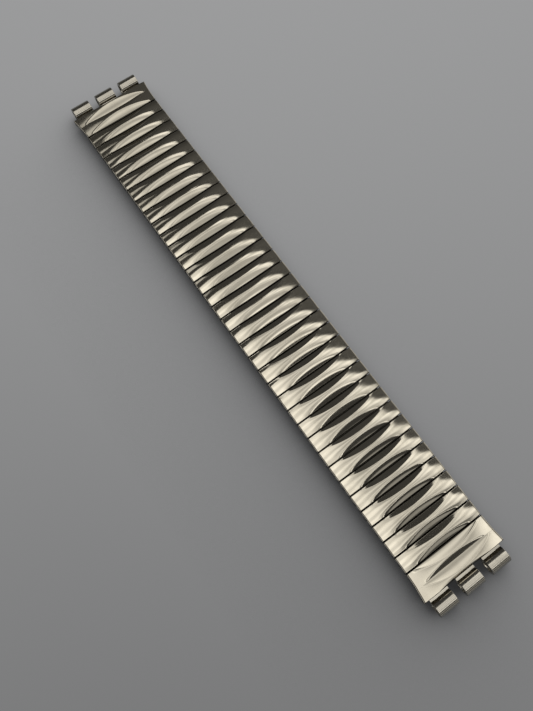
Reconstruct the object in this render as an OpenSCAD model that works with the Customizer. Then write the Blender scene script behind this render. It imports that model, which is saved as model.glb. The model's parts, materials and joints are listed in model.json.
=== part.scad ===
// Expanding watch band: two layers of sprung links held together by staples,
// with a fluted cover on every top link and a rolled three-knuckle lug frame at each end.
// Millimetres. The band lies flat: +X along it, +Y across it, +Z up, underside at z = 0.
// Side a is the -X half and side b is the +X half.

/* [Band] */
// Distance from one link to the next along the band
pitch = 3.15; // [3.1:0.05:3.3]
// Width of the band over its link covers
band_w = 17; // [14:0.5:20]
// Gap between neighbouring link covers with the band at rest
cover_gap = 0.15; // [0.12:0.01:0.2]

/* [Sleeves] */
// Wall thickness of the link sleeves
sleeve_wall = 0.15; // [0.12:0.01:0.18]
// Outside height of a bottom sleeve
lower_h = 1.35; // [1.3:0.01:1.5]
// Outside height of a top sleeve
upper_h = 1.05; // [1:0.01:1.2]
// Gap between the bottom sleeves and the top sleeves
layer_gap = 0.15; // [0.12:0.01:0.2]
// Gap between neighbouring bottom sleeves
lower_gap = 0.3; // [0.25:0.01:0.4]
// Outside corner radius of a bottom sleeve
lower_corner_r = 0.4; // [0.35:0.01:0.5]
// Outside corner radius of a top sleeve
upper_corner_r = 0.25; // [0.2:0.01:0.35]

/* [Staples] */
// Diameter of a staple's legs
leg_d = 0.5; // [0.4:0.02:0.52]
// Reach of a staple's legs into a sleeve
leg_reach = 3.2; // [2.5:0.1:4]
// Clearance between a leg and the sleeve wall that it bears on
leg_clear = 0.03; // [0.02:0.01:0.06]
// Thickness of the web that joins a staple's two legs
web_t = 0.35; // [0.25:0.05:0.45]
// Clearance between a web and the ends of the sleeves
web_clear = 0.05; // [0.03:0.01:0.1]
// Distance that a web's round ends stay inside the sleeves' outline
web_inset = 0.01; // [0.01:0.01:0.05]

/* [Leaf springs] */
// Thickness of the spring strip
spring_t = 0.08; // [0.06:0.01:0.09]
// Clearance between a spring and the side walls of its sleeve
spring_side = 0.12; // [0.08:0.01:0.2]
// Clearance between a spring's ends and the ends of its sleeve
spring_end = 0.3; // [0.2:0.05:1]
// Clearance between a spring and the wall or leg that it presses on
spring_clear = 0.02; // [0.02:0.005:0.03]

/* [Link covers] */
// Height of a cover's crown above its sleeve
cover_t = 0.65; // [0.6:0.01:0.75]
// Fall of a cover's crown from mid-width to its ends
cover_sag = 0.42; // [0.35:0.01:0.45]
// Thickness of the skirts folded down over a sleeve's sides
skirt_t = 0.12; // [0.1:0.01:0.14]
// Clearance between a skirt and its sleeve
skirt_clear = 0.01; // [0.005:0.005:0.02]
// Height of the skirts' lower edge above the underside of a top sleeve
skirt_rise = 0.12; // [0.1:0.01:0.3]
// Width of a cover's ridge at mid-width
ridge_w = 0.7; // [0.5:0.05:0.9]
// Depth of the scoops beside the ridge
scoop_depth = 0.52; // [0.48:0.01:0.56]
// Distance from a scoop's end to the end of its cover
scoop_margin = 1.6; // [1.4:0.1:2]

/* [End caps] */
// Length of an end cap along the band
cap_l = 5.4; // [5.2:0.05:5.6]
// Extra half-width of a cap at its outer edge
cap_flare = 0.45; // [0.3:0.05:0.6]
// Distance from a cap's inner edge to its first ridge
cap_ridge_1 = 1.8; // [1.7:0.02:1.86]
// Distance from a cap's inner edge to the groove between its ridges
cap_groove = 2.9; // [2.8:0.02:3.1]
// Distance from a cap's inner edge to its second ridge
cap_ridge_2 = 4.75; // [4.6:0.05:4.9]
// Width of a cap's ridges at mid-width
cap_ridge_w = 0.26; // [0.2:0.02:0.3]
// Distance from the ends of a cap's inward-facing scoops to the band's edges
cap_scoop_in = 1.1; // [0.8:0.1:1.4]
// Distance from the ends of a cap's outward-facing scoops to the band's edges
cap_scoop_out = 2.2; // [1.8:0.1:3]
// Wall thickness of a cap's side wings and end wall
wing_t = 0.3; // [0.2:0.05:0.35]
// Clearance between a cap's wings and the outermost staples
wing_clear = 0.4; // [0.2:0.1:0.6]

/* [Lug frames] */
// Outside diameter of a lug knuckle
knuckle_d = 3; // [2.8:0.05:3.05]
// Thickness of the sheet that the lug frame is folded and rolled from
lug_sheet = 0.5; // [0.4:0.05:0.6]
// Width of one knuckle
knuckle_w = 4.05; // [3.5:0.05:4.3]
// Gap between two knuckles
knuckle_gap = 1.83; // [1.6:0.01:2]
// Gap between a cap's outer edge and the knuckles
knuckle_clear = 0.6; // [0.3:0.05:0.9]
// Height of the knuckles' underside above the band's underside
knuckle_lift = 0.02; // [0:0.01:0.1]

/* [Hidden] */
$fn = 48;
// Facets of the wide, shallow curves
fine = 720;
// How far a cutter runs past what it cuts
past = 1;

polished = [0.86, 0.84, 0.77];
plain = [0.66, 0.65, 0.61];
wire = [0.52, 0.52, 0.5];

// Links in the middle group and in each outer segment, and segments on each side
mid_links = 4;
seg_links = 3;
segments = 5;
last_top = segments * seg_links + mid_links / 2 - 0.5;
// Staple legs lie a quarter pitch either side of a sleeve's centre
leg_x = pitch / 4;

sleeve_half = band_w / 2 - web_t - web_clear;
cover_half = (pitch - cover_gap) / 2;
lower_w = pitch - lower_gap;
upper_w = 2 * (cover_half - skirt_t - skirt_clear);
upper_z = lower_h + layer_gap;
sleeve_top = upper_z + upper_h;
crown_top = sleeve_top + cover_t;
low_leg_z = sleeve_wall + leg_clear + leg_d / 2;
up_leg_z = sleeve_top - sleeve_wall - leg_clear - leg_d / 2;
web_r = low_leg_z - web_inset;
crown_r = (pow(band_w / 2, 2) + pow(cover_sag, 2)) / (2 * cover_sag);

spring_w = upper_w - 2 * sleeve_wall - 2 * spring_side;
spring_half = sleeve_half - spring_end;
// Middle line of a spring against the wall between the layers, and where its ends meet the legs
low_spring_mid = lower_h - sleeve_wall - spring_clear - spring_t / 2;
low_spring_end = low_leg_z + leg_d / 2 + spring_clear + spring_t / 2;
up_spring_mid = upper_z + sleeve_wall + spring_clear + spring_t / 2;
up_spring_end = up_leg_z - leg_d / 2 - spring_clear - spring_t / 2;

end_x = (last_top + 1) * pitch;
cap_x = end_x - cover_half;
flare_r = (pow(cap_l, 2) + pow(cap_flare, 2)) / (2 * cap_flare);
wing_x = end_x - leg_x + web_r + wing_clear - cap_x;
bore_r = knuckle_d / 2 - lug_sheet;
knuckle_x = cap_x + cap_l + knuckle_clear + knuckle_d / 2;
knuckle_z = knuckle_lift + knuckle_d / 2;
lug_half = (3 * knuckle_w + 2 * knuckle_gap) / 2;

// Fall of the crown at a distance y from mid-width
function fall(y) = crown_r - sqrt(crown_r * crown_r - y * y);
// Side a counts as -1 and side b as 1
function side(name) = name == "a" ? -1 : 1;
// Centre of bridge link i on side b, which joins two groups of links
function bridge_x(i) = (seg_links * i - seg_links + mid_links / 2) * pitch;
// Centres of the top and bottom links of the middle group
mid_tops = [for (i = [0 : mid_links - 1]) (i - (mid_links - 1) / 2) * pitch];
mid_lows = [for (i = [1 : mid_links - 1]) (i - mid_links / 2) * pitch];
// Centres of the top and bottom links of segment i on side b
function seg_tops(i) = [for (j = [1 : seg_links]) bridge_x(i) + (j - 0.5) * pitch];
function seg_lows(i) = [for (j = [1 : i == segments ? seg_links : seg_links - 1]) bridge_x(i) + j * pitch];

// Outline with round corners, standing on y = 0
module round_outline(w, h, r) {
    translate([-w / 2 + r, 0]) square([w - 2 * r, h]);
    translate([-w / 2, r]) square([w, h - 2 * r]);
    for (x = [-1, 1], y = [r, h - r]) translate([x * (w / 2 - r), y]) circle(r);
}

// Flat sheet-metal tube along Y, open at both ends
module sleeve(w, h, r, z) {
    color(plain) translate([0, 0, z]) rotate([90, 0, 0])
        linear_extrude(height = 2 * sleeve_half, center = true) difference() {
            round_outline(w, h, r);
            translate([0, sleeve_wall])
                round_outline(w - 2 * sleeve_wall, h - 2 * sleeve_wall, r - sleeve_wall);
        }
}

module lower_sleeve() {
    sleeve(lower_w, lower_h, lower_corner_r, 0);
}

module upper_sleeve() {
    sleeve(upper_w, upper_h, upper_corner_r, upper_z);
}

// Spring strip bowed along Y, from mid_z at mid-width to end_z at its ends
module bowed_spring(mid_z, end_z) {
    bow = abs(end_z - mid_z);
    r = (pow(spring_half, 2) + pow(bow, 2)) / (2 * bow);
    up = end_z > mid_z ? 1 : -1;
    low = min(mid_z, end_z) - spring_t;
    color(wire) rotate([90, 0, 90]) linear_extrude(height = spring_w, center = true) intersection() {
        translate([0, mid_z + up * r]) difference() {
            circle(r + spring_t / 2, $fn = fine);
            circle(r - spring_t / 2, $fn = fine);
        }
        translate([-spring_half, low]) square([2 * spring_half, bow + 2 * spring_t]);
    }
}

module lower_spring() {
    bowed_spring(low_spring_mid, low_spring_end);
}

module upper_spring() {
    bowed_spring(up_spring_mid, up_spring_end);
}

// Spring pressed flat against the wall, clear of the legs that rise when the band stretches
module flat_spring() {
    color(wire) translate([0, 0, low_spring_mid])
        cube([spring_w, 2 * spring_half, spring_t], center = true);
}

// U-shaped staple at one edge of the band: a leg in each layer and a web outside the sleeves
module staple(edge) {
    color(wire) {
        for (z = [low_leg_z, up_leg_z])
            translate([0, edge * (sleeve_half + web_clear + web_t / 2), z]) rotate([edge * 90, 0, 0])
                cylinder(d = leg_d, h = leg_reach + web_clear + web_t / 2);
        translate([0, edge * (sleeve_half + web_clear + web_t / 2), 0]) rotate([90, 0, 0])
            linear_extrude(height = web_t, center = true) {
                translate([-web_r, low_leg_z]) square([2 * web_r, up_leg_z - low_leg_z]);
                translate([0, low_leg_z]) circle(web_r);
                translate([0, up_leg_z]) circle(web_r);
            }
    }
}

module staple_pair() {
    for (edge = [-1, 1]) staple(edge);
}

// Cutter for a scoop whose floor line is at x = 0 and whose face rises towards -x * dir,
// reaching the crown at a distance reach. It runs out at y = end_y.
module scoop(dir, reach, end_y, over) {
    slope = scoop_depth / reach;
    rise = (scoop_depth - fall(end_y)) / slope;
    r = (end_y * end_y - rise * rise) / (2 * rise);
    h = scoop_depth + past;
    floor_z = crown_top - scoop_depth;
    intersection() {
        translate([dir * r, 0, floor_z]) cylinder(h = h, r1 = r, r2 = r + h / slope, $fn = fine);
        translate([dir > 0 ? -past - reach : -over, -end_y - past, floor_z])
            cube([reach + past + over, 2 * (end_y + past), h]);
    }
}

// Crown over the whole width, from x0 to x1
module crown(x0, x1) {
    translate([x0, 0, crown_top - crown_r]) rotate([0, 90, 0]) cylinder(h = x1 - x0, r = crown_r, $fn = fine);
}

// Link cover: a domed plate with a waisted ridge between two scoops, and two skirts
module link_cover() {
    end_y = band_w / 2 - scoop_margin;
    color(polished) {
        difference() {
            intersection() {
                translate([-cover_half, -band_w / 2, sleeve_top]) cube([2 * cover_half, band_w, cover_t + past]);
                crown(-cover_half - past, cover_half + past);
            }
            for (dir = [-1, 1])
                translate([dir * cover_half, 0, 0]) scoop(dir, cover_half - ridge_w / 2, end_y, past);
        }
        for (x = [-cover_half, cover_half - skirt_t])
            translate([x, -sleeve_half, upper_z + skirt_rise])
                cube([skirt_t, 2 * sleeve_half, sleeve_top + skirt_clear - upper_z - skirt_rise]);
    }
}

// Outline of an end cap from its inner edge at x = 0, drawn in by inset at the sides
module cap_outline(inset) {
    half = band_w / 2 + cap_flare - inset;
    difference() {
        translate([0, -half]) square([cap_l, 2 * half]);
        for (y = [-1, 1])
            translate([0, y * (band_w / 2 - inset + flare_r)]) circle(flare_r, $fn = fine);
    }
}

// Wall under a cap's plate, from the height z up and from x0 outwards, of the outline given as children
module cap_wall(z, x0) {
    translate([0, 0, z]) linear_extrude(height = sleeve_top + skirt_clear - z) intersection() {
        children();
        translate([x0, -band_w]) square([cap_l, 2 * band_w]);
    }
}

// End cap of side b, from its inner edge at x = 0: two ridges, flared sides, wings and an end wall
module cap_shape() {
    in_y = band_w / 2 - cap_scoop_in;
    out_y = band_w / 2 - cap_scoop_out;
    half_ridge = cap_ridge_w / 2;
    color(polished) {
        difference() {
            intersection() {
                translate([0, 0, sleeve_top]) linear_extrude(height = cover_t + past) cap_outline(0);
                crown(-past, cap_l + past);
            }
            scoop(-1, cap_ridge_1 - half_ridge, in_y, past);
            translate([cap_groove, 0, 0]) scoop(1, cap_groove - cap_ridge_1 - half_ridge, out_y, 0);
            translate([cap_groove, 0, 0]) scoop(-1, cap_ridge_2 - half_ridge - cap_groove, in_y, 0);
            translate([cap_l, 0, 0]) scoop(1, cap_l - cap_ridge_2 - half_ridge, out_y, past);
        }
        translate([0, -sleeve_half, upper_z + skirt_rise])
            cube([skirt_t, 2 * sleeve_half, sleeve_top + skirt_clear - upper_z - skirt_rise]);
        cap_wall(upper_z, wing_x) difference() {
            cap_outline(0);
            cap_outline(wing_t);
        }
        cap_wall(upper_z + lug_sheet + skirt_clear, cap_l - wing_t) cap_outline(0);
    }
}

module end_cap(s) {
    mirror([s < 0 ? 1 : 0, 0, 0]) translate([cap_x, 0, 0]) cap_shape();
}

// Lug frame of side b: the end sleeve, a doubled plate and three rolled knuckles
module lug_shape() {
    difference() {
        union() {
            translate([end_x, 0, 0]) upper_sleeve();
            color(polished) {
                translate([end_x + upper_w / 2 - sleeve_wall, -lug_half, upper_z])
                    cube([knuckle_x - knuckle_d / 2 - knuckle_clear - end_x - upper_w / 2 + sleeve_wall,
                        2 * lug_half, lug_sheet]);
                translate([end_x + upper_w / 2, -lug_half, upper_z - lug_sheet])
                    cube([knuckle_x - knuckle_d / 2 - knuckle_clear - end_x - upper_w / 2,
                        2 * lug_half, lug_sheet + skirt_clear]);
                for (i = [-1 : 1]) translate([0, i * (knuckle_w + knuckle_gap), 0]) {
                    translate([knuckle_x, 0, knuckle_z]) rotate([90, 0, 0])
                        cylinder(d = knuckle_d, h = knuckle_w, center = true);
                    translate([knuckle_x - knuckle_d / 2 - knuckle_clear - lug_sheet, -knuckle_w / 2,
                        upper_z - lug_sheet])
                        cube([knuckle_clear + knuckle_d / 2 + lug_sheet, knuckle_w, 2 * lug_sheet]);
                }
            }
        }
        translate([knuckle_x, 0, knuckle_z]) rotate([90, 0, 0])
            cylinder(r = bore_r, h = 2 * lug_half + past, center = true);
    }
}

module lug_frame(s) {
    mirror([s < 0 ? 1 : 0, 0, 0]) lug_shape();
}

// Two staples that hold a lug frame to the last bottom link, with the end sleeve's leaf spring
module end_staples(s) {
    translate([s * (end_x - leg_x), 0, 0]) staple_pair();
    translate([s * end_x, 0, 0]) upper_spring();
}

module covers(tops) {
    for (x = tops) translate([x, 0, 0]) link_cover();
}

module sleeves(tops, lows) {
    for (x = tops) translate([x, 0, 0]) upper_sleeve();
    for (x = lows) translate([x, 0, 0]) lower_sleeve();
}

// Staples at the places legs, with one leaf spring in each sleeve of the group
module staples(tops, lows, legs) {
    for (x = legs) translate([x, 0, 0]) staple_pair();
    for (x = tops) translate([x, 0, 0]) upper_spring();
    for (x = lows) translate([x, 0, 0]) lower_spring();
}

module staples_mid() {
    staples(mid_tops, mid_lows, [for (x = mid_lows, d = [-leg_x, leg_x]) x + d]);
}

module seg_covers(s, i) {
    covers(s * seg_tops(i));
}

module seg_sleeves(s, i) {
    sleeves(s * seg_tops(i), s * seg_lows(i));
}

// The staples of a segment start with the pair in the bridge link on its inner side
module seg_staples(s, i) {
    legs = concat(bridge_x(i) + leg_x, [for (x = seg_lows(i), d = [-leg_x, leg_x]) x + d]);
    shown = i == segments ? [for (x = legs) if (x < end_x - leg_x - past / 2) x] : legs;
    staples(s * seg_tops(i), s * seg_lows(i), s * shown);
}

// Bottom link that joins two groups: it slides out as the band stretches
module bridge_link(s, i) {
    translate([s * bridge_x(i), 0, 0]) {
        lower_sleeve();
        flat_spring();
    }
}

// Staples that tilt as the band stretches, with their lower legs in a bridge link
module stretch_staples(s, i) {
    translate([s * (bridge_x(i) - leg_x), 0, 0]) staple_pair();
}

covers(mid_tops);  // covers_mid
sleeves(mid_tops, mid_lows);  // sleeves_mid
staples_mid();
for (name = ["a", "b"], i = [1 : segments]) {
    seg_covers(side(name), i);
    seg_sleeves(side(name), i);
    seg_staples(side(name), i);
    bridge_link(side(name), i);
    stretch_staples(side(name), i);
}
end_cap(-1);  // end_cap_a
lug_frame(-1);  // lug_frame_a
end_staples(-1);  // end_staples_a
end_cap(1);  // end_cap_b
lug_frame(1);  // lug_frame_b
end_staples(1);  // end_staples_b
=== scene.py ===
"""Dressed model of an expanding watch band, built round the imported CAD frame.

Sizes are in millimetres as the CAD source names them, and every mesh is scaled to metres when it is
finished. The band lies along X with its covers up, and side a is the -X half.

Known faults: the lug frames have no end sleeve, the faces of the covers and of the knuckles' straps point
inwards, and the faces that a fold or a bend starts from stay inside the sheet.
"""

from __future__ import annotations

import json
import logging
import math
from abc import ABC, abstractmethod
from collections.abc import Iterable, Iterator
from dataclasses import dataclass, field
from enum import Enum
from functools import cached_property, reduce

import bmesh
import bpy
from bmesh.types import BMesh
from mathutils import Matrix, Vector

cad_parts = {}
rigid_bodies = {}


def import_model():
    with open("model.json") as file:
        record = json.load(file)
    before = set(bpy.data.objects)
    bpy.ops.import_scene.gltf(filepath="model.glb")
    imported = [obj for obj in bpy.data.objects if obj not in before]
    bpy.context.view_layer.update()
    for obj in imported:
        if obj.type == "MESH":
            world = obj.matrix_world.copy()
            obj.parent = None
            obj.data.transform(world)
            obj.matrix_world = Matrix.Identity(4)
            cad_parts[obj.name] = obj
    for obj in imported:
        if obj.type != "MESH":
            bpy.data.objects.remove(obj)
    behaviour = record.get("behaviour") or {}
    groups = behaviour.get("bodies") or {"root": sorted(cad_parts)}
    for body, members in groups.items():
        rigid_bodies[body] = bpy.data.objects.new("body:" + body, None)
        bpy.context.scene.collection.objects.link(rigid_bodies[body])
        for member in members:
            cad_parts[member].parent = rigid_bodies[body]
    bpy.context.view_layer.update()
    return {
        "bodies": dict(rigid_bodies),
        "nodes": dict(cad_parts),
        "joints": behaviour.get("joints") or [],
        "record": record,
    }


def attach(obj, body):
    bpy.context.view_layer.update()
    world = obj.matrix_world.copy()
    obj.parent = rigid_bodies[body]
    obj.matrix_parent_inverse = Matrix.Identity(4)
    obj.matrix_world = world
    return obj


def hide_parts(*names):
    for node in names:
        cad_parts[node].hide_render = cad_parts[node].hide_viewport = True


log = logging.getLogger("watch_band")

MM = 0.001
# Lengths in millimetres that count as none
SAME = 1e-6
FLAT_WITHIN = 1e-4
Colour = tuple[float, float, float]
Point = tuple[float, float, float]
Spot = tuple[float, float]
Socket = bpy.types.NodeSocket
Inputs = dict[str | int, object]
Vertex = bmesh.types.BMVert
Face = bmesh.types.BMFace


class Side(Enum):
    """The two halves of the band, with the sign of their X."""

    A = -1
    B = 1

    @property
    def letter(self) -> str:
        """The letter that node and body names carry."""
        return self.name.lower()


@dataclass(frozen=True)
class BandSizes:
    """Sizes of the band in millimetres."""

    pitch: float = 3.15
    band_w: float = 17.0
    cover_gap: float = 0.15
    sleeve_wall: float = 0.15
    upper_h: float = 1.05
    upper_z: float = 1.5
    upper_corner_r: float = 0.25
    sleeve_half: float = 8.1
    cover_t: float = 0.65
    cover_sag: float = 0.42
    skirt_t: float = 0.12
    skirt_clear: float = 0.01
    skirt_rise: float = 0.12
    ridge_w: float = 0.7
    scoop_depth: float = 0.52
    scoop_margin: float = 1.6
    cap_l: float = 5.4
    cap_flare: float = 0.45
    cap_ridge_1: float = 1.8
    cap_groove: float = 2.9
    cap_ridge_2: float = 4.75
    cap_ridge_w: float = 0.26
    cap_scoop_in: float = 1.1
    cap_scoop_out: float = 2.2
    wing_t: float = 0.3
    wing_x: float = 1.95
    knuckle_d: float = 3.0
    lug_sheet: float = 0.5
    knuckle_w: float = 4.05
    knuckle_gap: float = 1.83
    knuckle_clear: float = 0.6
    knuckle_lift: float = 0.02
    mid_links: int = 4
    seg_links: int = 3
    segments: int = 5

    @property
    def half_w(self) -> float:
        """Half the band's width."""
        return self.band_w / 2

    @property
    def cover_half(self) -> float:
        """Half the width of one cover along the band."""
        return (self.pitch - self.cover_gap) / 2

    @property
    def upper_w(self) -> float:
        """Width of a top sleeve along the band."""
        return 2 * (self.cover_half - self.skirt_t - self.skirt_clear)

    @property
    def sleeve_top(self) -> float:
        """Height of the top sleeves' upper face."""
        return self.upper_z + self.upper_h

    @property
    def crown_top(self) -> float:
        """Height of the covers' crown at mid-width."""
        return self.sleeve_top + self.cover_t

    @property
    def crown_r(self) -> float:
        """Radius of the covers' crown across the band."""
        return (self.half_w**2 + self.cover_sag**2) / (2 * self.cover_sag)

    @property
    def end_x(self) -> float:
        """Centre of the end sleeve."""
        return (self.segments * self.seg_links + self.mid_links / 2 + 0.5) * self.pitch

    @property
    def cap_x(self) -> float:
        """Inner edge of an end cap."""
        return self.end_x - self.cover_half

    @property
    def flare_r(self) -> float:
        """Radius of a cap's flared side edges."""
        return (self.cap_l**2 + self.cap_flare**2) / (2 * self.cap_flare)

    @property
    def knuckle_x(self) -> float:
        """Axis of the knuckles along the band."""
        return self.cap_x + self.cap_l + self.knuckle_clear + self.knuckle_d / 2

    @property
    def knuckle_z(self) -> float:
        """Height of the knuckles' axis."""
        return self.knuckle_lift + self.knuckle_d / 2

    @property
    def lug_half(self) -> float:
        """Half the width over the three knuckles."""
        return (3 * self.knuckle_w + 2 * self.knuckle_gap) / 2

    def fall(self, y: float) -> float:
        """Fall of the crown at a distance y from mid-width."""
        return self.crown_r - math.sqrt(self.crown_r**2 - y * y)

    def group_tops(self, side: Side | None, index: int) -> list[float]:
        """Centres of a group's top links along the band.

        Args:
            side: The half of the band, or None for the middle group.
            index: The segment's number, counted outwards from 1.

        Returns:
            The X of each centre in millimetres.
        """
        if side is None:
            return [(i - (self.mid_links - 1) / 2) * self.pitch for i in range(self.mid_links)]
        bridge = (self.seg_links * (index - 1) + self.mid_links / 2) * self.pitch
        return [side.value * (bridge + (j + 0.5) * self.pitch) for j in range(self.seg_links)]


SIZES = BandSizes()


@dataclass(frozen=True)
class Scoop:
    """A hollow pressed beside a ridge, from its crest down to a straight floor line."""

    reach: float
    end_y: float
    curve: float = -0.1
    least: float = 0.03

    @property
    def slope(self) -> float:
        """Mean slope of the scoop's face."""
        return SIZES.scoop_depth / self.reach

    @property
    def radius(self) -> float:
        """Radius of the crest line in plan, measured at the floor's height."""
        rise = (SIZES.scoop_depth - SIZES.fall(self.end_y)) / self.slope
        return (self.end_y**2 - rise**2) / (2 * rise)

    def crest(self, y: float) -> float:
        """Distance from the floor line to the crest at y."""
        y = min(abs(y), self.end_y)
        rho = self.radius + (SIZES.scoop_depth - SIZES.fall(y)) / self.slope
        return max(math.sqrt(rho * rho - y * y) - self.radius, self.least)

    def drop(self, y: float, share: float, bulge: float) -> float:
        """Depth under the crown in the scoop.

        Args:
            y: Distance from mid-width.
            share: 0 at the crest and 1 at the floor line.
            bulge: Depth of the ridge's shoulder under the crown at the crest.

        Returns:
            The depth in millimetres.
        """
        y = min(abs(y), self.end_y)
        lift = self.slope * (math.hypot(self.radius, y) - self.radius)
        deep = max(SIZES.scoop_depth - SIZES.fall(y) - lift - bulge, 0.0)
        return bulge + deep * ((1 + self.curve) * share - self.curve * share * share)


# Points over a ridge, as shares of its half width, and down a scoop, as shares of its reach
RIDGE_STEPS = (-0.93, -0.8, -0.64, -0.32, 0.0, 0.32, 0.64, 0.8, 0.93)
CREASES = (-0.8, 0.8)
CAP_RIDGE_STEPS = (-1.0, -0.6, 0.0, 0.6, 1.0)
SCOOP_STEPS = (0.06, 0.2, 0.4, 0.6, 0.8, 0.94)
# Points less deep under the crown than this belong to a ridge
RIDGE_DEPTH = 0.04
RIDGE_LAYER = "ridge"
SHEET_LAYER = "press"
# Rounded rim: distance in from the edge and extra depth of each point
RIM = ((0.1, 0.0), (0.055, 0.011), (0.022, 0.037), (0.005, 0.07), (0.0, 0.1))
# Rows of points on one side of mid-width
ROWS = (0.0, 0.6, 1.3, 2.0, 2.7, 3.4, 4.1, 4.8, 5.4, 5.9, 6.3, 6.7, 7.0, 7.3, 7.6, 7.85, 7.97)
ROW_AT_WING = 8.24
# Angles in degrees over which an edge stays sharp
PRESSED_CREASE = 30.0
ROLLED_CREASE = 25.0


def verts_of(geometry: Iterable[object]) -> list[Vertex]:
    """The vertices among what an operator returned."""
    return [item for item in geometry if isinstance(item, Vertex)]


def faces_of(geometry: Iterable[object]) -> list[Face]:
    """The faces among what an operator returned."""
    return [item for item in geometry if isinstance(item, Face)]


@dataclass(frozen=True)
class PressedPlate(ABC):
    """A pressed sheet whose top is swept across the band from one profile per station."""

    rim: tuple[Spot, ...] = RIM

    @abstractmethod
    def profile(self, y: float) -> list[Spot]:
        """Points (x, depth under the crown) of the top at y, in order along the band."""

    @abstractmethod
    def underside(self) -> list[float]:
        """X of the columns of the underside, one for each point of the profile."""

    def half_width(self, x: float) -> float:
        """Half the plate's width at x."""
        return SIZES.half_w

    def stations(self) -> list[float]:
        """Distances from mid-width of the rows on one side, with the rim last."""
        rim = [SIZES.half_w - inset for inset, _ in self.rim]
        return [*ROWS, SIZES.sleeve_half, ROW_AT_WING, *rim]

    def rim_drop(self, y: float) -> float:
        """Extra depth of the rounded rim at the band's edges."""
        for inset, drop in self.rim:
            if abs(abs(y) - (SIZES.half_w - inset)) < SAME:
                return drop
        return 0.0

    def build(self) -> BMesh:
        """Builds the closed plate at the origin, before any fold is turned down.

        Returns:
            The mesh, with the sheet's own UV map and a mask of the ridges on its vertices.
        """
        side = self.stations()
        rows = [-y for y in reversed(side[1:])] + side
        profiles = {y: self.profile(y) for y in side}
        columns = len(self.underside())
        mesh = bmesh.new()
        bmesh.ops.create_grid(mesh, x_segments=columns - 1, y_segments=len(rows) - 1, size=1.0)
        uv = mesh.loops.layers.uv.new(SHEET_LAYER)
        ridge = mesh.verts.layers.float.new(RIDGE_LAYER)
        place = {v: self._index(v.co, columns, len(rows)) for v in mesh.verts}
        across = [x for x, _ in profiles[0.0]]
        span = across[-1] - across[0]
        raised = [depth < RIDGE_DEPTH for _, depth in profiles[0.0]]
        for v, (i, _) in place.items():
            v[ridge] = float(raised[i])
        for face in mesh.faces:
            for loop in face.loops:
                i, j = place[loop.vert]
                loop[uv].uv = ((across[i] - across[0]) / span, rows[j] / SIZES.band_w + 0.5)
        under = bmesh.ops.extrude_face_region(mesh, geom=mesh.faces[:], use_keep_orig=True)["geom"]
        low_x = self.underside()
        for v in verts_of(under):
            i, j = self._index(v.co, columns, len(rows))
            share = rows[j] / SIZES.half_w
            v.co = (low_x[i], share * self.half_width(low_x[i]), SIZES.sleeve_top)
        for v, (i, j) in place.items():
            x, depth = profiles[abs(rows[j])][i]
            y = rows[j] / SIZES.half_w * self.half_width(x)
            v.co = (x, y, SIZES.crown_top - SIZES.fall(y) - depth - self.rim_drop(rows[j]))
        bmesh.ops.recalc_face_normals(mesh, faces=mesh.faces)
        return mesh

    @staticmethod
    def _index(co: Vector, columns: int, rows: int) -> tuple[int, int]:
        """Column and row of a vertex of the flat grid."""
        return round((co.x + 1) / 2 * (columns - 1)), round((co.y + 1) / 2 * (rows - 1))


def fold_down(mesh: BMesh, low: Spot, high: Spot, foot: float) -> None:
    """Turns down a fold from the faces of the flat underside that lie inside a rectangle.

    The faces themselves stay where they were, inside the fold's root.

    Args:
        mesh: The plate.
        low: Lowest X and Y of the faces' centres.
        high: Highest X and Y of the faces' centres.
        foot: Height of the fold's lower edge.
    """
    picked = []
    for face in mesh.faces:
        centre = face.calc_center_median()
        flat = all(abs(v.co.z - SIZES.sleeve_top) < FLAT_WITHIN for v in face.verts)
        inside = low[0] < centre.x < high[0] and low[1] < centre.y < high[1]
        if flat and inside:
            picked.append(face)
    for v in verts_of(bmesh.ops.extrude_face_region(mesh, geom=picked)["geom"]):
        v.co.z = foot


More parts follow.
